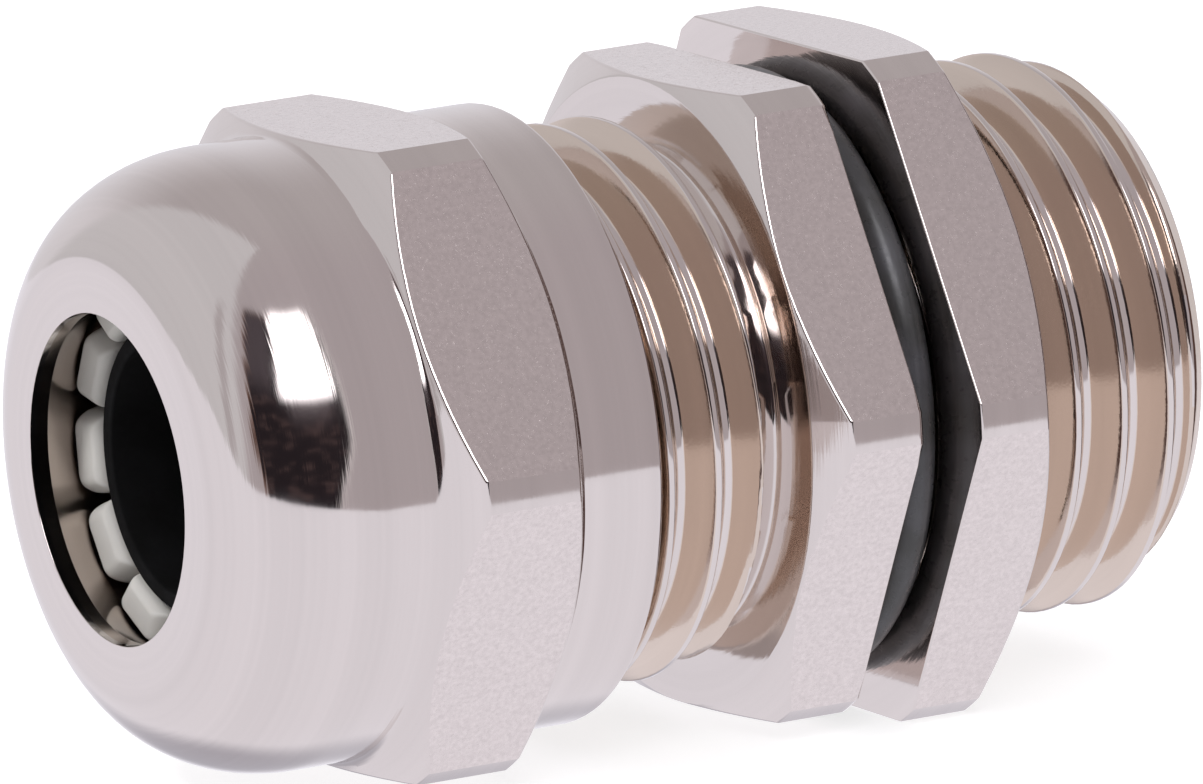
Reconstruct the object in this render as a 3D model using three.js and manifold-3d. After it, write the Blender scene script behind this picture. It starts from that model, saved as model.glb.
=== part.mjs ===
// Metal cable gland, size M16 x 1.5, in millimetres.
// It lies on a flat of its locknut: +X runs along the thread axis from the cable entry to the
// connection thread, and +Z is up. Stations along the axis are counted from the cap nut's front face.
import * as THREE from "three";
import { mergeVertices } from "three/addons/utils/BufferGeometryUtils.js";
import Module from "manifold-3d";

const wasm = await Module();
wasm.setup();

// Facets round the axis, and steps on the cap nut's front corner and round the sealing ring's section.
const ROUND_STEPS = 36;
const DOME_STEPS = 6;
const RING_STEPS = 10;

// Thread, the same at both ends.
const PITCH = 1.5;
const MAJOR = 8.0;
const MINOR = 7.1;
const CREST_WIDTH = PITCH / 8;
const FLANK = Math.tan(Math.PI / 6);
const THREAD_CLEARANCE = 0.12;
const NUT_BORE = 7.3;

// How far each thread's crest line is set along the axis from a whole number of pitches.
const UPPER_PHASE = 0.82;
const LOWER_PHASE = 0.39;

// Hexagons.
const SPANNER_SIZE = 18;
const CORNER_RADIUS = 10.14;
const LOCKNUT_SPANNER_SIZE = 19;
const LOCKNUT_CORNER_RADIUS = 10.7;
const CHAMFER = Math.tan(Math.PI / 6);

// Cap nut.
const ENTRY_RADIUS = 4.7;
const ENTRY_LENGTH = 0.56;
const DOME_RADIUS = 8.85;
const DOME_ALONG = 4.2;
const DOME_DROP = 3.0;
const DOME_END = 5.92;
const CAP_HEX_END = 9.57;
const CAP_COLLAR_RADIUS = 8.85;
const CAP_END = 12.84;
const CAP_THREAD_START = 6.6;
const CONE = Math.tan(Math.PI / 6);

// Gland body.
const BODY_START = 7.9;
const UPPER_THREAD_END = 17.0;
const NECK_RADIUS = 7.0;
const HEX_START = 17.5;
const HEX_END = 20.45;
const LOWER_THREAD_START = 22.2;
const BODY_END = 31.25;
const THREAD_TIP = 6.95;
const END_CHAMFER_LENGTH = 1.15;
const SEAT_RADIUS = 6.35;
const SEAT_END = 12.5;
const BORE_RADIUS = 5.0;

// Locknut.
const LOCKNUT_START = 22.0;
const LOCKNUT_END = 24.86;

// Sealing ring between the body's hexagon and the locknut, a little flattened.
const RING_STATION = 21.22;
const RING_RADIUS = 8.0;
const RING_HALF_WIDTH = 0.64;
const RING_HALF_HEIGHT = 0.78;

// Clamping insert: a collar and twelve fingers that lean in by LEAN as the cap nut holds them.
const FINGERS = 12;
const FINGER_PHASE = THREE.MathUtils.degToRad(-3);
const FINGER_INNER = 5.1;
const FINGER_OUTER = 6.0;
const FINGER_HALF_ANGLE = THREE.MathUtils.degToRad(10.85);
const FINGER_CORNER = 0.42;
const FINGER_TIP = 1.75;
const FINGER_ROOT = 7.35;
const HINGE_STATION = 7.4;
const HINGE_RADIUS = 5.55;
const LEAN = THREE.MathUtils.degToRad(8.1);
const COLLAR_START = 7.6;
const COLLAR_END = 12.2;
const COLLAR_INNER = 5.15;
const COLLAR_OUTER = 6.15;

// Sealing insert inside the fingers.
const SEAL_START = 1.95;
const SEAL_END = 12.3;
const SEAL_FRONT_RADIUS = 4.15;
const SEAL_RADIUS = 4.93;
const SEAL_TAPER_END = 7.2;
const SEAL_BORE = 3.6;

// Materials.
const nickel = new THREE.MeshStandardMaterial({ color: 0xc9c2c0, metalness: 1.0, roughness: 0.22 });
const polyamide = new THREE.MeshStandardMaterial({ color: 0xd9d6d4, metalness: 0.0, roughness: 0.5 });
const rubber = new THREE.MeshStandardMaterial({ color: 0x16161a, metalness: 0.0, roughness: 0.6 });

const UP = new THREE.Vector3(0, 0, 1);
const ALONG = new THREE.Vector3(1, 0, 0);
const ACROSS = new THREE.Vector3(0, 1, 0);

// A manifold solid from a three.js geometry, with its faces turned outwards.
function solidFrom(geometry) {
  const bare = new THREE.BufferGeometry();
  bare.setAttribute("position", geometry.getAttribute("position"));
  bare.setIndex(geometry.index);
  const merged = mergeVertices(bare, 1e-4);
  const index = [];
  for (let i = 0; i < merged.index.count; i += 3) {
    const [a, b, c] = [0, 1, 2].map((k) => merged.index.getX(i + k));
    if (a !== b && b !== c && c !== a) index.push(a, b, c);
  }
  const make = (triangles) =>
    new wasm.Manifold(
      new wasm.Mesh({
        numProp: 3,
        vertProperties: new Float32Array(merged.attributes.position.array),
        triVerts: new Uint32Array(triangles),
      }),
    );
  const solid = make(index);
  return solid.volume() < 0 ? make(index.reverse()) : solid;
}

// A ring-shaped solid turned about the X axis from a closed outline of [station, radius] points.
function turned(outline) {
  const points = [...outline, outline[0]].map(([station, radius]) => new THREE.Vector2(radius, station));
  const lathe = new THREE.LatheGeometry(points, ROUND_STEPS);
  return solidFrom(lathe.applyMatrix4(new THREE.Matrix4().makeBasis(UP, ALONG, ACROSS)));
}

// A long hexagonal bar on the X axis, with flats up and down.
function hexBar(acrossFlats) {
  const corner = acrossFlats / 2 / Math.cos(Math.PI / 6);
  const bar = new THREE.CylinderGeometry(corner, corner, 80, 6);
  return solidFrom(bar.applyMatrix4(new THREE.Matrix4().makeBasis(UP, ALONG, ACROSS)));
}

// The raised ridge of a right-hand thread between two stations, made clearance thicker all round
// when it cuts a nut, and trimmed to the outline of its blank.
function threadRidge(from, to, phase, root, clearance, blank) {
  const firstTurn = Math.floor(from / PITCH) - 2;
  const turns = Math.ceil(to / PITCH) + 1 - firstTurn;
  const top = MAJOR + clearance;
  const halfTop = CREST_WIDTH / 2 + clearance * FLANK;
  const halfFoot = halfTop + (top - root) * FLANK;
  const section = new THREE.Shape([
    new THREE.Vector2(-halfFoot, root),
    new THREE.Vector2(halfFoot, root),
    new THREE.Vector2(halfTop, top),
    new THREE.Vector2(-halfTop, top),
  ]);
  const ridge = new THREE.ExtrudeGeometry(section, {
    depth: turns,
    steps: turns * ROUND_STEPS,
    bevelEnabled: false,
  });
  const position = ridge.getAttribute("position");
  for (let i = 0; i < position.count; i++) {
    const turn = position.getZ(i);
    const radius = position.getY(i);
    const angle = turn * 2 * Math.PI;
    position.setXYZ(
      i,
      (firstTurn + turn) * PITCH + phase + position.getX(i),
      radius * Math.cos(angle),
      radius * Math.sin(angle),
    );
  }
  return solidFrom(ridge).intersect(turned(blank));
}

// Points of the cap nut's rounded front corner, a quarter of an ellipse from the front face to the side.
function domeCorner() {
  const points = [];
  for (let i = 0; i <= DOME_STEPS; i++) {
    const angle = (Math.PI / 2) * (i / DOME_STEPS);
    points.push([
      DOME_ALONG - DOME_ALONG * Math.cos(angle),
      DOME_RADIUS - DOME_DROP + DOME_DROP * Math.sin(angle),
    ]);
  }
  return points;
}

function capNut() {
  const coneEnd = ENTRY_LENGTH + (NUT_BORE - ENTRY_RADIUS) / CONE;
  const blank = turned([
    [0, ENTRY_RADIUS + 0.08],
    ...domeCorner(),
    [DOME_END, DOME_RADIUS],
    [DOME_END + (CORNER_RADIUS - DOME_RADIUS) * CHAMFER, CORNER_RADIUS],
    [CAP_HEX_END, CORNER_RADIUS],
    [CAP_HEX_END + (CORNER_RADIUS - CAP_COLLAR_RADIUS) * CHAMFER, CAP_COLLAR_RADIUS],
    [CAP_END - 0.2, CAP_COLLAR_RADIUS],
    [CAP_END, CAP_COLLAR_RADIUS - 0.15],
    [CAP_END, NUT_BORE + 0.9],
    [CAP_END - 0.8, NUT_BORE],
    [coneEnd, NUT_BORE],
    [ENTRY_LENGTH, ENTRY_RADIUS],
    [0.08, ENTRY_RADIUS],
  ]);
  const cut = MAJOR + THREAD_CLEARANCE;
  const thread = threadRidge(CAP_THREAD_START, CAP_END, UPPER_PHASE, NUT_BORE - 0.1, THREAD_CLEARANCE, [
    [CAP_THREAD_START, NUT_BORE - 0.2],
    [CAP_THREAD_START, NUT_BORE],
    [CAP_THREAD_START + 0.6, cut + 0.01],
    [CAP_END + 1, cut + 0.01],
    [CAP_END + 1, NUT_BORE - 0.2],
  ]);
  return blank.intersect(hexBar(SPANNER_SIZE)).subtract(thread);
}

function glandBody() {
  const spindle = turned([
    [BODY_START, SEAT_RADIUS + 0.25],
    [BODY_START, THREAD_TIP],
    [BODY_START + 0.15, MINOR],
    [UPPER_THREAD_END, MINOR],
    [UPPER_THREAD_END + 0.1, NECK_RADIUS],
    [LOWER_THREAD_START - 0.1, NECK_RADIUS],
    [LOWER_THREAD_START, MINOR],
    [BODY_END - 0.15, MINOR],
    [BODY_END, THREAD_TIP],
    [BODY_END, BORE_RADIUS + 0.4],
    [BODY_END - 0.4, BORE_RADIUS],
    [SEAT_END, BORE_RADIUS],
    [SEAT_END, SEAT_RADIUS],
    [BODY_START + 0.25, SEAT_RADIUS],
  ]);
  const hexagon = turned([
    [HEX_START, NECK_RADIUS - 0.3],
    [HEX_START, SPANNER_SIZE / 2 - 0.05],
    [HEX_START + (CORNER_RADIUS - SPANNER_SIZE / 2 + 0.05) * CHAMFER, CORNER_RADIUS],
    [HEX_END - 0.12, CORNER_RADIUS],
    [HEX_END, CORNER_RADIUS - 0.2],
    [HEX_END, NECK_RADIUS - 0.3],
  ]).intersect(hexBar(SPANNER_SIZE));
  const root = MINOR - 0.12;
  const tipChamfer = MAJOR - THREAD_TIP;
  const upper = threadRidge(BODY_START, UPPER_THREAD_END, UPPER_PHASE, root, 0, [
    [BODY_START, root - 0.1],
    [BODY_START, THREAD_TIP],
    [BODY_START + tipChamfer * CHAMFER, MAJOR + 0.01],
    [UPPER_THREAD_END - 0.5, MAJOR + 0.01],
    [UPPER_THREAD_END, root - 0.1],
  ]);
  const lower = threadRidge(LOWER_THREAD_START, BODY_END, LOWER_PHASE, root, 0, [
    [LOWER_THREAD_START, root - 0.1],
    [LOWER_THREAD_START + 0.5, MAJOR + 0.01],
    [BODY_END - END_CHAMFER_LENGTH, MAJOR + 0.01],
    [BODY_END, THREAD_TIP],
    [BODY_END, root - 0.1],
  ]);
  return spindle.add(hexagon).add(upper).add(lower);
}

function locknut() {
  const blank = turned([
    [LOCKNUT_START, NUT_BORE + 0.8],
    [LOCKNUT_START, LOCKNUT_CORNER_RADIUS],
    [LOCKNUT_END - (LOCKNUT_CORNER_RADIUS - LOCKNUT_SPANNER_SIZE / 2 + 0.05) * CHAMFER, LOCKNUT_CORNER_RADIUS],
    [LOCKNUT_END, LOCKNUT_SPANNER_SIZE / 2 - 0.05],
    [LOCKNUT_END, NUT_BORE + 0.9],
    [LOCKNUT_END - 0.5, NUT_BORE],
    [LOCKNUT_START + 0.5, NUT_BORE],
  ]);
  const cut = MAJOR + THREAD_CLEARANCE;
  const thread = threadRidge(LOCKNUT_START, LOCKNUT_END, LOWER_PHASE, NUT_BORE - 0.1, THREAD_CLEARANCE, [
    [LOCKNUT_START - 1, NUT_BORE - 0.2],
    [LOCKNUT_START - 1, cut + 0.01],
    [LOCKNUT_END + 1, cut + 0.01],
    [LOCKNUT_END + 1, NUT_BORE - 0.2],
  ]);
  return blank.intersect(hexBar(LOCKNUT_SPANNER_SIZE)).subtract(thread);
}

function sealingRing() {
  const outline = [];
  for (let i = 0; i < RING_STEPS; i++) {
    const angle = (2 * Math.PI * i) / RING_STEPS;
    outline.push([
      RING_STATION + RING_HALF_WIDTH * Math.cos(angle),
      RING_RADIUS + RING_HALF_HEIGHT * Math.sin(angle),
    ]);
  }
  return turned(outline);
}

function clampCollar() {
  return turned([
    [COLLAR_START, COLLAR_INNER],
    [COLLAR_START, COLLAR_OUTER - 0.15],
    [COLLAR_START + 0.15, COLLAR_OUTER],
    [COLLAR_END - 0.3, COLLAR_OUTER],
    [COLLAR_END, COLLAR_OUTER - 0.3],
    [COLLAR_END, COLLAR_INNER],
  ]);
}

function sealingInsert() {
  return turned([
    [SEAL_START, SEAL_BORE + 0.15],
    [SEAL_START, SEAL_FRONT_RADIUS],
    [SEAL_TAPER_END, SEAL_RADIUS],
    [SEAL_END - 0.3, SEAL_RADIUS],
    [SEAL_END, SEAL_RADIUS - 0.3],
    [SEAL_END, SEAL_BORE + 0.3],
    [SEAL_END - 0.3, SEAL_BORE],
    [SEAL_START + 0.15, SEAL_BORE],
  ]);
}

// One finger, straight as moulded, pointing to -X with its middle on the +Y side of the axis.
function clampFinger() {
  const half = FINGER_HALF_ANGLE;
  const at = (radius, angle) => [radius * Math.cos(angle), radius * Math.sin(angle)];
  const cornerAngle = half - FINGER_CORNER / FINGER_OUTER;
  const section = new THREE.Shape();
  section.moveTo(...at(FINGER_INNER, -half));
  section.lineTo(...at(FINGER_OUTER - FINGER_CORNER, -half));
  section.quadraticCurveTo(...at(FINGER_OUTER, -half), ...at(FINGER_OUTER, -cornerAngle));
  section.absarc(0, 0, FINGER_OUTER, -cornerAngle, cornerAngle, false);
  section.quadraticCurveTo(...at(FINGER_OUTER, half), ...at(FINGER_OUTER - FINGER_CORNER, half));
  section.lineTo(...at(FINGER_INNER, half));
  section.absarc(0, 0, FINGER_INNER, half, -half, true);
  const finger = new THREE.ExtrudeGeometry(section, {
    depth: FINGER_ROOT - FINGER_TIP,
    bevelEnabled: false,
    curveSegments: 4,
  });
  finger.applyMatrix4(new THREE.Matrix4().makeBasis(ACROSS, UP, ALONG));
  return solidFrom(finger.translate(FINGER_TIP, 0, 0));
}

// A named mesh of a manifold solid, in the group's stations.
function mesh(name, solid, material) {
  const made = solid.getMesh();
  const geometry = new THREE.BufferGeometry();
  geometry.setAttribute("position", new THREE.BufferAttribute(made.vertProperties, 3));
  geometry.setIndex(new THREE.BufferAttribute(made.triVerts, 1));
  geometry.computeVertexNormals();
  const part = new THREE.Mesh(geometry, material);
  part.name = name;
  return part;
}

const group = new THREE.Group();
group.name = "cable_gland";
group.add(mesh("cap_nut", capNut(), nickel));
group.add(mesh("gland_body", glandBody(), nickel));
group.add(mesh("locknut", locknut(), nickel));
group.add(mesh("sealing_ring", sealingRing(), rubber));
group.add(mesh("clamp_collar", clampCollar(), polyamide));
group.add(mesh("sealing_insert", sealingInsert(), rubber));

// The straight finger is turned in about its root by LEAN, then set round the axis.
const finger = clampFinger();
const lean = new THREE.Matrix4()
  .makeTranslation(HINGE_STATION, HINGE_RADIUS, 0)
  .multiply(new THREE.Matrix4().makeRotationZ(LEAN))
  .multiply(new THREE.Matrix4().makeTranslation(-HINGE_STATION, -HINGE_RADIUS, 0));
for (let i = 0; i < FINGERS; i++) {
  const part = mesh("clamp_finger_" + String(i + 1).padStart(2, "0"), finger, polyamide);
  part.geometry.applyMatrix4(lean);
  part.rotation.x = FINGER_PHASE + (2 * Math.PI * i) / FINGERS;
  group.add(part);
}

group.position.set(-BODY_END / 2, 0, LOCKNUT_SPANNER_SIZE / 2);

export default group;
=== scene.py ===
import bmesh
import bpy
import math
from mathutils import Matrix, Vector

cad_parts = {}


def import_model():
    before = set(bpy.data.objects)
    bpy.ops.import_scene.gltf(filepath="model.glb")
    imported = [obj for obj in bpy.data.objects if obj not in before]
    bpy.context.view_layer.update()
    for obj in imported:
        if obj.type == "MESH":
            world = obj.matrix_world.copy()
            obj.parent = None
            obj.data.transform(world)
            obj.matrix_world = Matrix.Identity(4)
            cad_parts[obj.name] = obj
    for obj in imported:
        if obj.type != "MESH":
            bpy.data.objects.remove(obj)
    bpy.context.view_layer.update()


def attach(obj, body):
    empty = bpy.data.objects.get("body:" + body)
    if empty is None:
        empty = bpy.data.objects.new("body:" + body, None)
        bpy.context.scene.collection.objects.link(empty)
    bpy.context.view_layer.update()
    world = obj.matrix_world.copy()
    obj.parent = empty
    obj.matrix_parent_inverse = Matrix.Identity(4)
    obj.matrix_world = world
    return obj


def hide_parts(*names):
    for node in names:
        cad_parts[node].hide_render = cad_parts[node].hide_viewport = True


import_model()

MM = 0.001
MICRON = 0.000001
# In metres: mesh points closer than WELD become one, and a length under TINY counts as none.
WELD = 2e-7
TINY = 1e-8
TAN_30 = math.tan(math.radians(30))
LENGTH = 31.25

# Threads, M16 x 1.5 at both ends. A phase is the station of a crest at angle 0.
PITCH = 1.5
MAJOR = 8.0
MINOR = 7.1
HALF_CREST = PITCH / 16
THREAD_CLEARANCE = 0.12
THREAD_SOFTNESS = 0.06
RUN_OUT_SLOPE = 2
NUT_BORE = 7.3
NUT_LEAD = NUT_BORE + 0.9
UPPER_PHASE = 0.82
LOWER_PHASE = 0.39

# Hexagons: half the spanner size, and the radius that their corners are turned to.
FLAT = 9.0
CORNER = 10.14
LOCKNUT_FLAT = 9.5
LOCKNUT_CORNER = 10.7
STRIP_EDGE = math.degrees(math.acos(FLAT / CORNER))
LEAST_CHAMFER = 0.02
# Hexagons' end faces stop a little inside their flats.
FACE_INSET = 0.05

# The gland lies level on its widest hexagon, the locknut's.
AXIS_HEIGHT = LOCKNUT_FLAT

# Cap nut.
ENTRY_RADIUS = 4.7
ENTRY_LENGTH = 0.56
# Inside the entry, the station where the outside's surface meets the bore's.
ENTRY_SEAM = 0.2
DOME_RADIUS = 8.85
DOME_ALONG = 4.2
DOME_DROP = 3.0
DOME_END = 5.92
CAP_HEX_END = 9.57
CAP_COLLAR = DOME_RADIUS
CAP_END = 12.84
CAP_THREAD_START = 6.6

# Gland body.
BODY_START = 7.9
UPPER_THREAD_END = 17.0
NECK = 7.0
HEX_START = 17.5
HEX_END = 20.45
HEX_REAR_CHAMFER = CORNER - 0.2
LOWER_THREAD_START = 22.2
THREAD_TIP = 6.95
END_CHAMFER = 1.15
SEAT_RADIUS = 6.35
SEAT_END = 12.5
BORE_RADIUS = 5.0

# Locknut and sealing ring.
LOCKNUT_START = 22.0
LOCKNUT_END = 24.86
RING_STATION = 21.22
RING_RADIUS = 8.0
RING_HALF_WIDTH = 0.64
RING_HALF_HEIGHT = 0.78

# Clamping insert's collar, and the sealing insert.
COLLAR_START = 7.6
COLLAR_END = 12.2
COLLAR_INNER = 5.15
COLLAR_OUTER = 6.15
SEAL_START = 1.95
SEAL_END = 12.3
SEAL_FRONT = 4.05
SEAL_RADIUS = 4.93
SEAL_TAPER_END = 7.2
SEAL_BORE = 3.6

# Clamping fingers, each leaned in about its hinge.
FINGERS = 12
FINGER_PHASE = math.radians(-3)
FINGER_INNER = 5.1
FINGER_OUTER = 6.0
FINGER_HALF_ANGLE = math.radians(10.85)
FINGER_TIP = 1.75
FINGER_ROOT = 7.35
HINGE_STATION = 7.4
HINGE_RADIUS = (FINGER_INNER + FINGER_OUTER) / 2
LEAN = math.radians(8.1)
# The visible finger is this much fuller than the CAD one.
FINGER_SWELL = 0.16
FINGER_EDGE = 0.24
# Its tip is rounded like a tongue, as seen from outside, and off its outer and inner faces.
TONGUE_ALONG = 0.90
TONGUE_ACROSS = 0.50
OUTER_TIP_ALONG = 0.12
OUTER_TIP_DROP = 0.10
INNER_TIP_ALONG = 0.5
INNER_TIP_DROP = 0.28


# ---------------------------------------------------------------- mesh tools


def place(station, radius, angle):
    """A point of a turned surface, in metres. Angle 0 is +Y and a quarter turn is up."""
    return Vector((
        (station - LENGTH / 2) * MM,
        radius * math.cos(angle) * MM,
        (AXIS_HEIGHT + radius * math.sin(angle)) * MM,
    ))


def axis_radius(point):
    """Distance of a point from the thread axis, in metres."""
    return math.hypot(point.y, point.z - AXIS_HEIGHT * MM)


def angle_from_flat(angle):
    """How far an angle is from the middle of the nearest hexagon flat."""
    return angle % (math.pi / 3) - math.pi / 6


def hex_radius(angle, flat, corner):
    """Distance from the axis to the side of a hexagon with turned-off corners."""
    return min(corner, flat / math.cos(angle_from_flat(angle)))


def hex_angles(per_flat=14, soft=0.4):
    """Angles round the axis, for the mesh columns of a hexagon whose corners are turned off. Each edge
    has a column on it and one soft degrees to each side."""
    angles = []
    inner = STRIP_EDGE - soft
    for side in range(6):
        middle = 30 + 60 * side
        offsets = [-inner + 2 * inner * i / per_flat for i in range(per_flat + 1)]
        offsets += [STRIP_EDGE, STRIP_EDGE + soft, 30, 60 - STRIP_EDGE - soft, 60 - STRIP_EDGE]
        angles += [math.radians(middle + offset) for offset in offsets]
    return angles


ANGLES = hex_angles()


def corner_curve(before, here, after, size, steps):
    """Points of a short curve that rounds off a corner between its neighbours."""
    to_before = before - here
    to_after = after - here
    most = 0.45
    start = here + to_before.normalized() * min(size, to_before.length * most)
    end = here + to_after.normalized() * min(size, to_after.length * most)
    points = []
    for k in range(steps + 1):
        t = k / steps
        points.append(start * (1 - t) ** 2 + here * 2 * t * (1 - t) + end * t * t)
    return points


def oval(station, radius, along, up, last, steps):
    """Outline points round an oval's middle, from angle 0 to the last angle."""
    points = []
    for i in range(steps + 1):
        turn = last * i / steps
        points.append((station + along * math.cos(turn), radius + up * math.sin(turn), 0))
    return points


def rounded(points, steps=3):
    """An outline of (station, radius, fillet) points, with each fillet turned into a short curve."""
    out = []
    for i, (station, radius, fillet) in enumerate(points):
        if not fillet or i in (0, len(points) - 1):
            out.append((station, radius))
            continue
        before, here, after = (Vector(point[:2]) for point in points[i - 1:i + 2])
        out += [tuple(point) for point in corner_curve(before, here, after, fillet, steps)]
    return out


# What a face belongs to: a shape with edges, a turned surface, or a thread's helical one.
SHAPED, ROUND, HELICAL = range(3)

# Material slots of the metal pieces.
TURNED_SLOT, FLAT_SLOT, FLANK_SLOT, BORE_SLOT = range(4)

# A thread's face is a flank where its normal points this much along the axis.
FLANK_LEAN = 0.35


def same_when_turned(a, b):
    """Whether turning one point round the axis gives the other."""
    return abs(axis_radius(a) - axis_radius(b)) + abs(a.x - b.x) < TINY


def skin(bm, columns, kind=None, shift=0, slot=TURNED_SLOT):
    """Faces between neighbouring columns of points, all the way round. Without a kind, each face is
    turned or shaped as its corners say. shift joins the last column to the first that many rows
    further on, as a thread does."""
    kinds = bm.faces.layers.int.get("kind") or bm.faces.layers.int.new("kind")
    made = [[bm.verts.new(point) for point in column] for column in columns]
    for c, left in enumerate(made):
        right = made[(c + 1) % len(made)]
        ahead = shift if c == len(made) - 1 else 0
        for row in range(len(left) - 1):
            quad = []
            for vertex in (
                left[row],
                left[row + 1],
                right[min(row + 1 + ahead, len(right) - 1)],
                right[min(row + ahead, len(right) - 1)],
            ):
                if vertex not in quad:
                    quad.append(vertex)
            if len(quad) < 3:
                continue
            face = bm.faces.new(quad)
            face.material_index = slot
            if kind is not None:
                face[kinds] = kind
            elif all(same_when_turned(left[k].co, right[k].co) for k in (row, row + 1)):
                face[kinds] = ROUND
            else:
                face[kinds] = SHAPED


def turned(bm, outline, slot=TURNED_SLOT):
    """A turned surface from an outline, or from a function of the angle that gives one."""
    make = outline if callable(outline) else lambda angle: outline
    skin(bm, [[place(s, r, angle) for s, r in rounded(make(angle))] for angle in ANGLES], slot=slot)


def smooth_min(a, b, k):
    """The smaller of two values, blended where they are less than k apart."""
    h = max(k - abs(a - b), 0) / k
    return min(a, b) - h * h * k / 4


def ridge_radius(offset, grow):
    """Radius of a thread at an axial offset from its crest line, grow thicker all round."""
    flank = MAJOR + grow - (abs(offset) - HALF_CREST - grow * TAN_30) / TAN_30
    top = smooth_min(flank, MAJOR + grow, THREAD_SOFTNESS)
    root = MINOR if grow == 0 else NUT_BORE
    return -smooth_min(-top, -root, THREAD_SOFTNESS)


# Where a thread's rows lie in half a pitch, in pitches from the crest: close together at both bends.
HALF_PITCH_ROWS = [0, 0.035, 0.06, 0.085, 0.13, 0.22, 0.31, 0.365, 0.395, 0.42, 0.455]
ROW_OFFSETS = [row * PITCH for row in HALF_PITCH_ROWS] + [PITCH / 2]
ROW_OFFSETS += [(1 - row) * PITCH for row in reversed(HALF_PITCH_ROWS[1:])]


def thread(bm, start, end, phase, limit, grow=0.0):
    """A right-hand thread's surface between two stations. limit(station, radius) trims it to its
    chamfers."""
    first = math.floor((start - phase) / PITCH) - 2
    turns = math.ceil((end - phase) / PITCH) + 2 - first
    columns = []
    for angle in ANGLES:
        crest = phase + PITCH * angle / (2 * math.pi)
        column = []
        for turn in range(turns):
            for offset in ROW_OFFSETS:
                station = min(max(crest + (first + turn) * PITCH + offset, start), end)
                from_crest = (station - crest + PITCH / 2) % PITCH - PITCH / 2
                column.append(place(station, limit(station, ridge_radius(from_crest, grow)), angle))
        columns.append(column)
    skin(bm, columns, HELICAL, shift=len(ROW_OFFSETS))


def round_normal(at, total, helical):
    """Normal of a turned or helical surface at a point, from the sum of the faces' normals there."""
    radius = max(axis_radius(at), 1e-6)
    out = Vector((0, at.y, at.z - AXIS_HEIGHT * MM)) / radius
    side = Vector((1, 0, 0)).cross(out)
    twist = total.x * PITCH * MM / (2 * math.pi * radius) if helical else 0.0
    return (Vector((total.x, 0, 0)) + out * total.dot(out) - side * twist).normalized()


def exact_normals(mesh, kinds):
    """Corner normals: true to the axis on turned and helical faces, level on flats, blended elsewhere."""
    smooth = [Vector() for vertex in mesh.vertices]
    blended = [Vector() for vertex in mesh.vertices]
    for face in mesh.polygons:
        for v in face.vertices:
            blended[v] += face.normal * face.area
            if kinds[face.index] != SHAPED:
                smooth[v] += face.normal * face.area
    normals = []
    for face in mesh.polygons:
        kind = kinds[face.index]
        for v in face.vertices:
            if face.material_index == FLAT_SLOT:
                normals.append(face.normal.copy())
            elif kind == SHAPED:
                normals.append(blended[v].normalized())
            else:
                normal = round_normal(mesh.vertices[v].co, smooth[v], kind == HELICAL)
                normals.append(normal if normal.length > 0 else face.normal.copy())
    mesh.normals_split_custom_set(normals)


def on_flat(face, flat):
    """Whether a face lies on one of a hexagon's flats."""
    centre = face.calc_center_median() - Vector((0, 0, AXIS_HEIGHT * MM))
    angle = math.atan2(centre.z, centre.y)
    depth = math.hypot(centre.y, centre.z) * math.cos(angle_from_flat(angle)) / MM
    return abs(depth - flat) < 0.02 and abs(face.normal.x) < 0.1


def hand_over(name, mesh, materials, body, node):
    """Makes a mesh into a piece that rides on a body and stands for a CAD node."""
    for material in materials:
        mesh.materials.append(material)
    piece = bpy.data.objects.new(name, mesh)
    bpy.context.scene.collection.objects.link(piece)
    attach(piece, body)
    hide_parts(node)


def finish_mesh(name, bm, materials, body, node, flat=None):
    """Closes a turned mesh, sorts its faces by material, shades it and hands it over."""
    bmesh.ops.remove_doubles(bm, verts=bm.verts, dist=WELD)
    bmesh.ops.dissolve_degenerate(bm, edges=bm.edges, dist=TINY)
    bmesh.ops.recalc_face_normals(bm, faces=bm.faces)
    layer = bm.faces.layers.int["kind"]
    for face in bm.faces:
        face.smooth = True
        if face[layer] == HELICAL and abs(face.normal.x) > FLANK_LEAN:
            face.material_index = FLANK_SLOT
        if flat and face[layer] == SHAPED and on_flat(face, flat):
            face.material_index = FLAT_SLOT
    kinds = [face[layer] for face in bm.faces]
    mesh = bpy.data.meshes.new(name)
    bm.to_mesh(mesh)
    bm.free()
    exact_normals(mesh, kinds)
    hand_over(name, mesh, materials, body, node)


# ---------------------------------------------------------------- materials
# Noise scales are per metre, so a scale of 1000 gives patches about a millimetre across.


class Nodes:
    """Short helper that adds shader nodes to a tree and links them. A value is a number, a colour or
    another node's socket."""

    def __init__(self, tree):
        self.tree = tree

    def put(self, socket, value):
        if isinstance(value, bpy.types.NodeSocket):
            self.tree.links.new(value, socket)
        else:
            socket.default_value = value

    def add(self, kind, inputs, **settings):
        node = self.tree.nodes.new(kind)
        for key, value in settings.items():
            setattr(node, key, value)
        for key, value in inputs.items():
            self.put(node.inputs[key], value)
        return node

    def coordinate(self, name):
        return self.add("ShaderNodeTexCoord", {}).outputs[name]

    def split(self, vector):
        return self.add("ShaderNodeSeparateXYZ", {0: vector}).outputs

    def math(self, operation, *values):
        return self.add("ShaderNodeMath", dict(enumerate(values)), operation=operation).outputs[0]

    def noise(self, vector, scale, detail=2.0, roughness=0.5):
        inputs = {"Vector": vector, "Scale": scale, "Detail": detail, "Roughness": roughness}
        return self.add("ShaderNodeTexNoise", inputs).outputs[0]

    def ramp(self, value, low, high, to_low=0.0, to_high=1.0, shape="LINEAR"):
        inputs = {"Value": value, "From Min": low, "From Max": high, "To Min": to_low, "To Max": to_high}
        return self.add("ShaderNodeMapRange", inputs, interpolation_type=shape).outputs[0]

    def mix(self, factor, a, b):
        return self.add("ShaderNodeMix", {0: factor, 6: a, 7: b}, data_type="RGBA").outputs[2]


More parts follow.
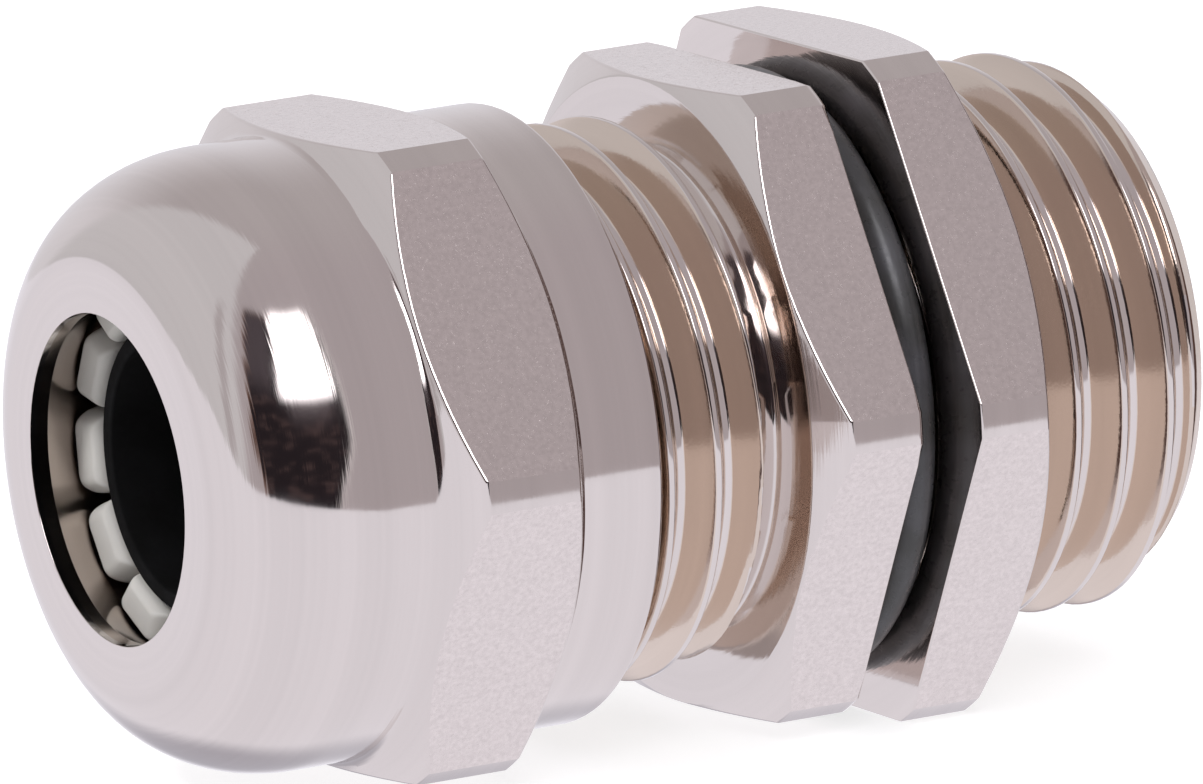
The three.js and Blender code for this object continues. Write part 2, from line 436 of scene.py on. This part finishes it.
class Surface(Nodes):
    """The nodes of a new material."""

    def __init__(self, name):
        self.material = bpy.data.materials.new(name)
        self.material.use_nodes = True
        super().__init__(self.material.node_tree)
        self.shader = self.tree.nodes["Principled BSDF"]
        self.position = self.coordinate("Object")

    def set(self, **values):
        """Sets the shader's inputs. An underscore stands for a space."""
        for name, value in values.items():
            self.put(self.shader.inputs[name.replace("_", " ")], value)

    def bump(self, height, distance, strength, under=None):
        """Bumps from a height, on top of those under it."""
        inputs = {"Height": height, "Distance": distance, "Strength": strength}
        if under:
            inputs["Normal"] = under
        return self.add("ShaderNodeBump", inputs).outputs[0]

    def turning(self):
        """A vector that changes with station and radius but not round the axis."""
        x, y, z = self.split(self.position)
        height = self.math("SUBTRACT", z, AXIS_HEIGHT * MM)
        square = self.math("ADD", self.math("POWER", y, 2.0), self.math("POWER", height, 2.0))
        radius = self.math("SQRT", square)
        return self.add("ShaderNodeCombineXYZ", {0: x, 1: radius, 2: 0.0}).outputs[0]


def nickel(name, colour, roughness, marks, grain):
    """Bright nickel plate with a roughness that varies between two values. marks is how deep its
    turning marks are, and grain how strong the fine grain of unturned faces is, both from 0."""
    n = Surface(name)
    # Full grain is only on flats, which aren't turned, so their tint isn't either.
    if grain == 1:
        tint = n.noise(n.position, 7000, 3)
    else:
        tint = n.noise(n.turning(), 900, 5, 0.6)
    darkening = 0.91 - 0.04 * grain
    darker = tuple(darkening * part for part in colour)
    clouds = n.ramp(n.noise(n.position, 900, 3), 0.3, 0.75, *roughness)
    speck = n.noise(n.position, 13000, 1)
    dull_specks = n.ramp(speck, 0.55, 0.75, 0.0, 0.22 * grain)
    normal = n.bump(n.noise(n.position, 450, 1), 8 * MICRON, 0.5)
    if grain:
        normal = n.bump(speck, 5 * MICRON * grain, 1.0, normal)
    if marks:
        normal = n.bump(n.noise(n.turning(), 5200, 4, 0.65), 1.6 * MICRON * marks, 1.0, normal)
    n.set(
        Base_Color=n.mix(n.ramp(tint, 0.3, 0.7), (*darker, 1), (*colour, 1)),
        Metallic=1.0,
        Roughness=n.math("ADD", clouds, dull_specks),
        Normal=normal,
    )
    return n.material


def polyamide():
    """Light grey moulded plastic with a soft, slightly uneven shine."""
    n = Surface("polyamide")
    patches = n.ramp(n.noise(n.position, 500, 3), 0.3, 0.7)
    n.set(
        Base_Color=n.mix(patches, (0.50, 0.49, 0.465, 1), (0.44, 0.43, 0.41, 1)),
        Roughness=n.ramp(n.noise(n.position, 2500, 3), 0.3, 0.7, 0.38, 0.52),
        Subsurface_Weight=0.12,
        Subsurface_Radius=(0.0008, 0.0007, 0.0006),
        Normal=n.bump(n.noise(n.position, 3500, 3), 6 * MICRON, 0.5),
    )
    return n.material


def rubber(name, dark, roughness, specular=0.5):
    """Black rubber with slightly greyer patches."""
    n = Surface(name)
    patches = n.ramp(n.noise(n.position, 700, 4), 0.35, 0.7)
    greyer = (1.8 * dark, 1.8 * dark, 2 * dark, 1)
    n.set(
        Base_Color=n.mix(patches, (dark, dark, dark, 1), greyer),
        Roughness=n.ramp(n.noise(n.position, 3000, 3), 0.3, 0.7, roughness, roughness + 0.14),
        Specular_IOR_Level=specular,
        Normal=n.bump(n.noise(n.position, 4200, 3), 8 * MICRON, 0.7),
    )
    return n.material


# In the order of the metal pieces' slots.
METAL = [
    nickel("nickel_turned", (0.79, 0.73, 0.70), (0.055, 0.10), marks=2.4, grain=0.0),
    nickel("nickel_flats", (0.84, 0.77, 0.74), (0.115, 0.14), marks=0.0, grain=1.0),
    nickel("nickel_flanks", (0.765, 0.655, 0.57), (0.09, 0.14), marks=0.0, grain=0.25),
    # The bore's nickel is darker and browner than the outside's: painted shade for the inside of the cap
    # nut's entry and cone.
    nickel("nickel_bore_painted_shade", (0.62, 0.53, 0.47), (0.14, 0.18), marks=0.5, grain=0.0),
]
POLYAMIDE = polyamide()
RING_RUBBER = rubber("ring_rubber", 0.034, 0.24)
# The sealing insert's rubber is near black and dull, far darker than the ring's: partly its own black and
# partly painted shade of its place deep inside the cap nut.
SEAL_RUBBER_SHADED = rubber("seal_rubber", 0.003, 0.75, specular=0.2)


# ---------------------------------------------------------------- metal pieces


def hex_side(angle, start, start_radius, end, end_radius):
    """Outline of a hexagon's side between two 30 degree chamfers that begin at the given radii."""
    side = hex_radius(angle, FLAT, CORNER)
    rise = max(side - start_radius, LEAST_CHAMFER)
    fall = max(side - end_radius, LEAST_CHAMFER)
    return [
        (start + rise * TAN_30, side, 0.09),
        (end - fall * TAN_30, side, 0.06),
    ]


def cap_nut():
    bm = bmesh.new()
    chamfer_end = CAP_HEX_END + (CORNER - CAP_COLLAR) * TAN_30
    # The rounded front corner is a quarter of an ellipse.
    dome = oval(DOME_ALONG, DOME_RADIUS - DOME_DROP, -DOME_ALONG, DOME_DROP, math.pi / 2, 20)

    def outside(angle):
        return (
            [(ENTRY_SEAM, ENTRY_RADIUS, 0), (0, ENTRY_RADIUS, 0.03)]
            + dome
            + [(DOME_END, DOME_RADIUS, 0.24)]
            + hex_side(angle, DOME_END, DOME_RADIUS, chamfer_end, CAP_COLLAR)
            + [
                (chamfer_end, CAP_COLLAR, 0.08),
                (CAP_END, CAP_COLLAR, 0.12),
                (CAP_END, NUT_LEAD, 0),
            ]
        )

    turned(bm, outside)
    # Inside, a short straight entry opens into the cone that presses the fingers in.
    cone_end = ENTRY_LENGTH + (NUT_BORE - ENTRY_RADIUS) / TAN_30
    turned(bm, [
        (ENTRY_SEAM, ENTRY_RADIUS, 0),
        (ENTRY_LENGTH, ENTRY_RADIUS, 0.02),
        (cone_end, NUT_BORE, 0.1),
        (CAP_THREAD_START, NUT_BORE, 0),
    ], BORE_SLOT)

    def limit(station, radius):
        radius = min(radius, NUT_BORE + max(station - CAP_THREAD_START, 0))
        return max(radius, NUT_LEAD - (CAP_END - station))

    thread(bm, CAP_THREAD_START, CAP_END, UPPER_PHASE, limit, THREAD_CLEARANCE)
    finish_mesh("cap_nut_shell", bm, METAL, "cap_nut", "cap_nut", FLAT)


def gland_body():
    bm = bmesh.new()
    # End faces, seat and bore.
    turned(bm, [
        (BODY_START, THREAD_TIP, 0),
        (BODY_START, SEAT_RADIUS, 0.2),
        (SEAT_END, SEAT_RADIUS, 0.05),
        (SEAT_END, BORE_RADIUS, 0.05),
        (LENGTH, BORE_RADIUS, 0.3),
        (LENGTH, THREAD_TIP, 0),
    ])

    def upper_limit(station, radius):
        entry = THREAD_TIP + (station - BODY_START) / TAN_30
        out = NECK + max(UPPER_THREAD_END - station, 0) * RUN_OUT_SLOPE
        return min(radius, entry, out)

    def lower_limit(station, radius):
        entry = NECK + (station - LOWER_THREAD_START) * RUN_OUT_SLOPE
        out = THREAD_TIP + (LENGTH - station) * (MAJOR - THREAD_TIP) / END_CHAMFER
        return min(radius, entry, out)

    thread(bm, BODY_START, UPPER_THREAD_END, UPPER_PHASE, upper_limit)
    thread(bm, LOWER_THREAD_START, LENGTH, LOWER_PHASE, lower_limit)

    def middle(angle):
        front = FLAT - FACE_INSET
        rear = hex_radius(angle, FLAT, CORNER) - FACE_INSET
        return (
            [(UPPER_THREAD_END, NECK, 0), (HEX_START, NECK, 0.15), (HEX_START, front, 0.04)]
            + hex_side(angle, HEX_START, front, HEX_END, HEX_REAR_CHAMFER)
            + [(HEX_END, rear, 0), (HEX_END, NECK, 0.1), (LOWER_THREAD_START, NECK, 0)]
        )

    turned(bm, middle)
    finish_mesh("gland_body_shell", bm, METAL, "gland_body", "gland_body", FLAT)


def locknut():
    bm = bmesh.new()
    rear = LOCKNUT_FLAT - FACE_INSET

    def outside(angle):
        side = hex_radius(angle, LOCKNUT_FLAT, LOCKNUT_CORNER)
        return [
            (LOCKNUT_START, NUT_LEAD, 0),
            (LOCKNUT_START, side, 0.06),
            (LOCKNUT_END - (side - rear) * TAN_30, side, 0.05),
            (LOCKNUT_END, rear, 0.04),
            (LOCKNUT_END, NUT_LEAD, 0),
        ]

    turned(bm, outside)

    def limit(station, radius):
        front_lead = NUT_LEAD - (station - LOCKNUT_START) / TAN_30
        rear_lead = NUT_LEAD - (LOCKNUT_END - station) / TAN_30
        return max(radius, front_lead, rear_lead)

    thread(bm, LOCKNUT_START, LOCKNUT_END, LOWER_PHASE, limit, THREAD_CLEARANCE)
    finish_mesh("locknut_shell", bm, METAL, "locknut", "locknut", LOCKNUT_FLAT)


# ---------------------------------------------------------------- rubber and plastic pieces


def sealing_ring():
    """A cord of oval section between the body's hexagon and the locknut."""
    bm = bmesh.new()
    turned(bm, oval(RING_STATION, RING_RADIUS, RING_HALF_WIDTH, RING_HALF_HEIGHT, 2 * math.pi, 24))
    finish_mesh("sealing_ring_cord", bm, [RING_RUBBER], "sealing_ring", "sealing_ring")


def sealing_insert():
    bm = bmesh.new()
    turned(bm, [
        (SEAL_START + 1, SEAL_BORE, 0),
        (SEAL_START, SEAL_BORE, 0.12),
        (SEAL_START, SEAL_FRONT, 0.12),
        (SEAL_TAPER_END, SEAL_RADIUS, 0.5),
        (SEAL_END, SEAL_RADIUS, 0.3),
        (SEAL_END, SEAL_BORE, 0.3),
        (SEAL_START + 1, SEAL_BORE, 0),
    ])
    finish_mesh("sealing_insert_sleeve", bm, [SEAL_RUBBER_SHADED], "clamp_insert", "sealing_insert")


def clamp_collar():
    bm = bmesh.new()
    turned(bm, [
        (COLLAR_START + 1, COLLAR_INNER, 0),
        (COLLAR_START, COLLAR_INNER, 0.1),
        (COLLAR_START, COLLAR_OUTER, 0.15),
        (COLLAR_END, COLLAR_OUTER, 0.3),
        (COLLAR_END, COLLAR_INNER, 0.1),
        (COLLAR_START + 1, COLLAR_INNER, 0),
    ])
    finish_mesh("clamp_collar_ring", bm, [POLYAMIDE], "clamp_insert", "clamp_collar")


def drop_at(distance, along, depth):
    """How far a quarter-ellipse corner has fallen at a distance from the tip."""
    short = 1 - min(distance / along, 1)
    return depth * (1 - math.sqrt(1 - short * short))


def finger_section(distance):
    """Section of a finger as (across, radius) points at a distance from its tip."""
    side = FINGER_SWELL - drop_at(distance, TONGUE_ALONG, TONGUE_ACROSS)
    half_inner = FINGER_INNER * math.sin(FINGER_HALF_ANGLE) + side
    half_outer = FINGER_OUTER * math.sin(FINGER_HALF_ANGLE) + side
    inner = FINGER_INNER + drop_at(distance, INNER_TIP_ALONG, INNER_TIP_DROP)
    edge_radius = FINGER_OUTER * math.cos(FINGER_HALF_ANGLE)
    outer = edge_radius + FINGER_SWELL - drop_at(distance, OUTER_TIP_ALONG, OUTER_TIP_DROP)
    corners = [
        Vector((-half_inner, inner)),
        Vector((half_inner, inner)),
        Vector((half_outer, outer)),
        Vector((-half_outer, outer)),
    ]
    loop = []
    for i, here in enumerate(corners):
        outside = i > 1
        size = FINGER_EDGE if outside else FINGER_EDGE / 2
        for point in corner_curve(corners[i - 1], here, corners[(i + 1) % 4], size, 5):
            # The outer face is round, on the fingers' outer radius.
            if outside:
                point.y += math.sqrt(FINGER_OUTER ** 2 - point.x ** 2) - edge_radius
            loop.append(point)
    return loop


def finger_point(point, distance, angle):
    """A section's point on a finger leaned in about its hinge and set at an angle round the axis."""
    along = FINGER_TIP + distance - HINGE_STATION
    out = point.y - HINGE_RADIUS
    station = HINGE_STATION + along * math.cos(LEAN) - out * math.sin(LEAN)
    radius = HINGE_RADIUS + along * math.sin(LEAN) + out * math.cos(LEAN)
    return place(station, radius, angle) + Vector((0, -math.sin(angle), math.cos(angle))) * point.x * MM


def clamp_finger(index, tip_steps=12):
    bm = bmesh.new()
    angle = FINGER_PHASE + 2 * math.pi * index / FINGERS
    distances = []
    for i in range(tip_steps + 1):
        distances.append(TONGUE_ALONG * (1 - math.cos(math.pi / 2 * i / tip_steps)))
    distances += [1.5, 3.5, FINGER_ROOT - FINGER_TIP]
    loops = []
    for distance in distances:
        section = finger_section(distance)
        loops.append([bm.verts.new(finger_point(point, distance, angle)) for point in section])
    count = len(loops[0])
    for a, b in zip(loops, loops[1:]):
        for k in range(count):
            bm.faces.new((a[k], a[(k + 1) % count], b[(k + 1) % count], b[k]))
    bm.faces.new(loops[0])
    bm.faces.new(loops[-1])
    bmesh.ops.recalc_face_normals(bm, faces=bm.faces)
    for face in bm.faces:
        face.smooth = True
    number = "%02d" % (index + 1)
    name = "finger_%s_nose" % number
    mesh = bpy.data.meshes.new(name)
    bm.to_mesh(mesh)
    bm.free()
    hand_over(name, mesh, [POLYAMIDE], "finger_" + number, "clamp_finger_" + number)


# ---------------------------------------------------------------- stage, light and camera


def floor(half=3.0, low=-0.02 * MM):
    """A plain white table top, a little under the gland. Sizes here are in metres."""
    mesh = bpy.data.meshes.new("floor")
    corners = [(-half, -half, low), (half, -half, low), (half, half, low), (-half, half, low)]
    mesh.from_pydata(corners, [], [(0, 1, 2, 3)])
    n = Surface("floor_white")
    n.set(
        Base_Color=(0.5, 0.5, 0.5, 1),
        Roughness=0.9,
        Specular_IOR_Level=0.1,
        Emission_Color=(1, 1, 1, 1),
        Emission_Strength=0.72,
    )
    mesh.materials.append(n.material)
    obj = bpy.data.objects.new("floor", mesh)
    bpy.context.scene.collection.objects.link(obj)
    obj.visible_glossy = False


# Colours of the surroundings that the metal mirrors.
ROOM_FRONT = (0.475, 0.432, 0.455, 1)
ROOM_LEFT = (0.66, 0.65, 0.68, 1)
BACK_LOW = (0.77, 0.755, 0.80, 1)
BACK_HIGH = (0.50, 0.47, 0.485, 1)
SCREEN_EDGE = (0.49, 0.46, 0.48, 1)
DARK_DOOR = (0.10, 0.06, 0.055, 1)
DARK_CARD = (0.022, 0.017, 0.02, 1)
CARD_EDGE = (0.17, 0.09, 0.065, 1)
CARD_STREAK = (0.075, 0.05, 0.05, 1)
CARD_LEFT = (0.085, 0.07, 0.08, 1)
CARD_GLOW = (0.11, 0.09, 0.10, 1)
CARD_SHINE = (0.75, 0.72, 0.74, 1)
SOFTBOX = (4.2, 4.1, 4.3, 1)
TABLE = (0.88, 0.865, 0.935, 1)
SHADOW = (0.50, 0.49, 0.55, 1)

# Places of the surroundings in degrees. Azimuth 0 is the front, -Y, and 90 is +X.
CARD_MIDDLE = -24.5
CARD_ELEVATIONS = (-40, 58)
CARD_FOOT_HALF = 23.5
CARD_WIDENING = 10.5
DOOR_AZIMUTHS = (60, 106)

# The table's far edge, as a height on the unit sphere, with its slopes along X and Y and its rise
# behind on the left.
TABLE_EDGE = -0.123
TABLE_SLOPES = (-0.103, 0.067)
TABLE_RISE = 0.13


class Surroundings(Nodes):
    """The world's nodes: its colour is built from areas given as ranges of azimuth and elevation."""

    def __init__(self, tree):
        super().__init__(tree)
        self.direction = self.coordinate("Generated")
        self.x, self.y, self.z = self.split(self.direction)
        front = self.math("MULTIPLY", self.y, -1.0)
        self.azimuth = self.degrees(self.math("ARCTAN2", self.x, front))
        self.elevation = self.degrees(self.math("ARCSINE", self.z))

    def degrees(self, value):
        return self.math("MULTIPLY", value, 180 / math.pi)

    def step(self, value, edge, soft):
        """0 below the edge and 1 above it."""
        return self.ramp(value, edge - soft, edge + soft, shape="SMOOTHSTEP")

    def below(self, value, edge, soft):
        """1 below the edge and 0 above it."""
        return self.math("SUBTRACT", 1.0, self.step(value, edge, soft))

    def band(self, value, low, high, soft):
        """1 between two edges."""
        return self.math("SUBTRACT", self.step(value, low, soft), self.step(value, high, soft))

    def area(self, azimuths, elevations, soft_azimuth, soft_elevation):
        """1 within a range of azimuths and one of elevations."""
        wide = self.band(self.azimuth, *azimuths, soft_azimuth)
        return self.math("MULTIPLY", wide, self.band(self.elevation, *elevations, soft_elevation))

    def level_streaks(self, stretch=(7, 7, 20)):
        """Uneven streaks that run level across the surroundings."""
        node = self.add("ShaderNodeVectorMath", {0: self.direction, 1: stretch}, operation="MULTIPLY")
        return self.noise(node.outputs[0], 1.0, 3.0)

    def spot(self, azimuth, elevation, inner, outer):
        """A round soft spot, full inside one angle from its middle and gone at another."""
        a = math.radians(azimuth)
        e = math.radians(elevation)
        middle = (math.sin(a) * math.cos(e), -math.cos(a) * math.cos(e), math.sin(e))
        node = self.add("ShaderNodeVectorMath", {0: self.direction, 1: middle}, operation="DOT_PRODUCT")
        low = math.cos(math.radians(outer))
        high = math.cos(math.radians(inner))
        return self.step(node.outputs["Value"], (low + high) / 2, (high - low) / 2)


def add_room(w):
    """Pale backdrop behind and grey room in front, with a lighter left side and a screen's edge in it."""
    back = w.mix(w.step(w.elevation, 32, 24), BACK_LOW, BACK_HIGH)
    colour = w.mix(w.step(w.y, 0.0, 0.35), ROOM_FRONT, back)
    colour = w.mix(w.band(w.azimuth, -165, -69, 4), colour, ROOM_LEFT)
    return w.mix(w.area((-86, -79), (2, 52), 1.5, 4), colour, SCREEN_EDGE)


def add_card(w, colour):
    """Dark card in front of the room, with a shining right edge and a brown left one."""
    # The card narrows towards its foot, so its width is measured against the height.
    half = w.math("MULTIPLY_ADD", w.step(w.elevation, 2, 14), CARD_WIDENING, CARD_FOOT_HALF)
    from_middle = w.math("ABSOLUTE", w.math("SUBTRACT", w.azimuth, CARD_MIDDLE))
    across = w.math("SUBTRACT", from_middle, half)
    high = w.band(w.elevation, *CARD_ELEVATIONS, 3)
    card = w.math("MULTIPLY", high, w.below(across, 0.0, 1.0))
    fringe = w.math("MULTIPLY", high, w.below(across, 2.0, 1.5))
    colour = w.mix(w.math("MULTIPLY", fringe, w.step(w.azimuth, 0, 8)), colour, CARD_SHINE)
    colour = w.mix(w.math("MULTIPLY", fringe, w.below(w.azimuth, -30, 8)), colour, CARD_EDGE)
    streaky = w.mix(w.step(w.level_streaks(), 0.60, 0.09), DARK_CARD, CARD_STREAK)
    colour = w.mix(card, colour, streaky)
    colour = w.mix(w.math("MULTIPLY", card, w.area((-70, -38), (31, 70), 5, 7)), colour, CARD_LEFT)
    return w.mix(w.math("MULTIPLY", card, w.area((-27, 3), (23, 60), 5, 6)), colour, CARD_GLOW)


def table_colour(w):
    """White table, with a soft shadow behind the gland and the dark door mirrored in it."""
    colour = w.mix(w.spot(166, -40, 8, 24), TABLE, SHADOW)
    return w.mix(w.area(DOOR_AZIMUTHS, (-34, 10), 5, 5), colour, DARK_DOOR)


def above_table(w):
    """1 above the table's far edge, which lies higher on the left and at the back."""
    slope_x, slope_y = TABLE_SLOPES
    edge = w.math("ADD", w.math("MULTIPLY", w.x, slope_x), w.math("MULTIPLY", w.y, slope_y))
    edge = w.math("MULTIPLY_ADD", w.band(w.azimuth, -124, -84, 24), TABLE_RISE, edge)
    height = w.math("SUBTRACT", w.math("SUBTRACT", w.z, edge), TABLE_EDGE)
    return w.step(height, 0.0, 0.004)


def world():
    """Studio surroundings: a white table, a pale backdrop behind, a grey room in front, and a softbox
    beside and above a dark card."""
    made = bpy.data.worlds.new("studio")
    bpy.context.scene.world = made
    made.use_nodes = True
    w = Surroundings(made.node_tree)
    upper = add_card(w, add_room(w))
    upper = w.mix(w.area((-33, 6), (30, 60), 1.2, 4), upper, SOFTBOX)
    upper = w.mix(w.area(DOOR_AZIMUTHS, (-60, 34), 5, 6), upper, DARK_DOOR)
    colour = w.mix(above_table(w), table_colour(w), upper)
    w.put(made.node_tree.nodes["Background"].inputs["Color"], colour)


def area_light(name, location, target, size, power):
    """A square light that points from its location to a target, in metres, and isn't mirrored."""
    data = bpy.data.lights.new(name, "AREA")
    data.shape = "SQUARE"
    data.size = size
    data.energy = power
    light = bpy.data.objects.new(name, data)
    bpy.context.scene.collection.objects.link(light)
    light.location = location
    light.rotation_euler = (Vector(target) - Vector(location)).to_track_quat("-Z", "Y").to_euler()
    light.visible_glossy = False
    light.visible_camera = False


# The camera, in metres and degrees: a long lens low in front, on the cable side, rolled a little.
LENS = 605
SENSOR = 36
CAMERA_DISTANCE = 0.5714
CAMERA_AZIMUTH = -27.8
CAMERA_ELEVATION = 11.28
CAMERA_ROLL = -3.41
AIM = place(16.22, 0, 0) + Vector((0, 0.94, -0.01)) * MM


def camera():
    data = bpy.data.cameras.new("camera")
    data.lens = LENS
    data.sensor_width = SENSOR
    data.clip_start = 0.01
    data.clip_end = 20
    obj = bpy.data.objects.new("camera", data)
    bpy.context.scene.collection.objects.link(obj)
    azimuth = math.radians(CAMERA_AZIMUTH)
    elevation = math.radians(CAMERA_ELEVATION)
    roll = math.radians(CAMERA_ROLL)
    back = Vector((
        math.sin(azimuth) * math.cos(elevation),
        -math.cos(azimuth) * math.cos(elevation),
        math.sin(elevation),
    ))
    level = Vector((math.cos(azimuth), math.sin(azimuth), 0))
    upright = back.cross(level)
    right = level * math.cos(roll) + upright * math.sin(roll)
    up = upright * math.cos(roll) - level * math.sin(roll)
    turn = Matrix((right, up, back)).transposed().to_4x4()
    obj.matrix_world = Matrix.Translation(AIM + back * CAMERA_DISTANCE) @ turn
    bpy.context.scene.camera = obj


cap_nut()
gland_body()
locknut()
sealing_ring()
sealing_insert()
clamp_collar()
for finger in range(FINGERS):
    clamp_finger(finger)
floor()
world()
area_light("overhead", (-0.10, -0.15, 0.6), (0, 0, 0.01), size=0.9, power=2.0)
area_light("into_the_entry", (-0.21, -0.05, 0.22), (-0.0145, 0.001, 0.008), size=0.07, power=0.6)
camera()
bpy.context.scene.view_settings.view_transform = "Standard"
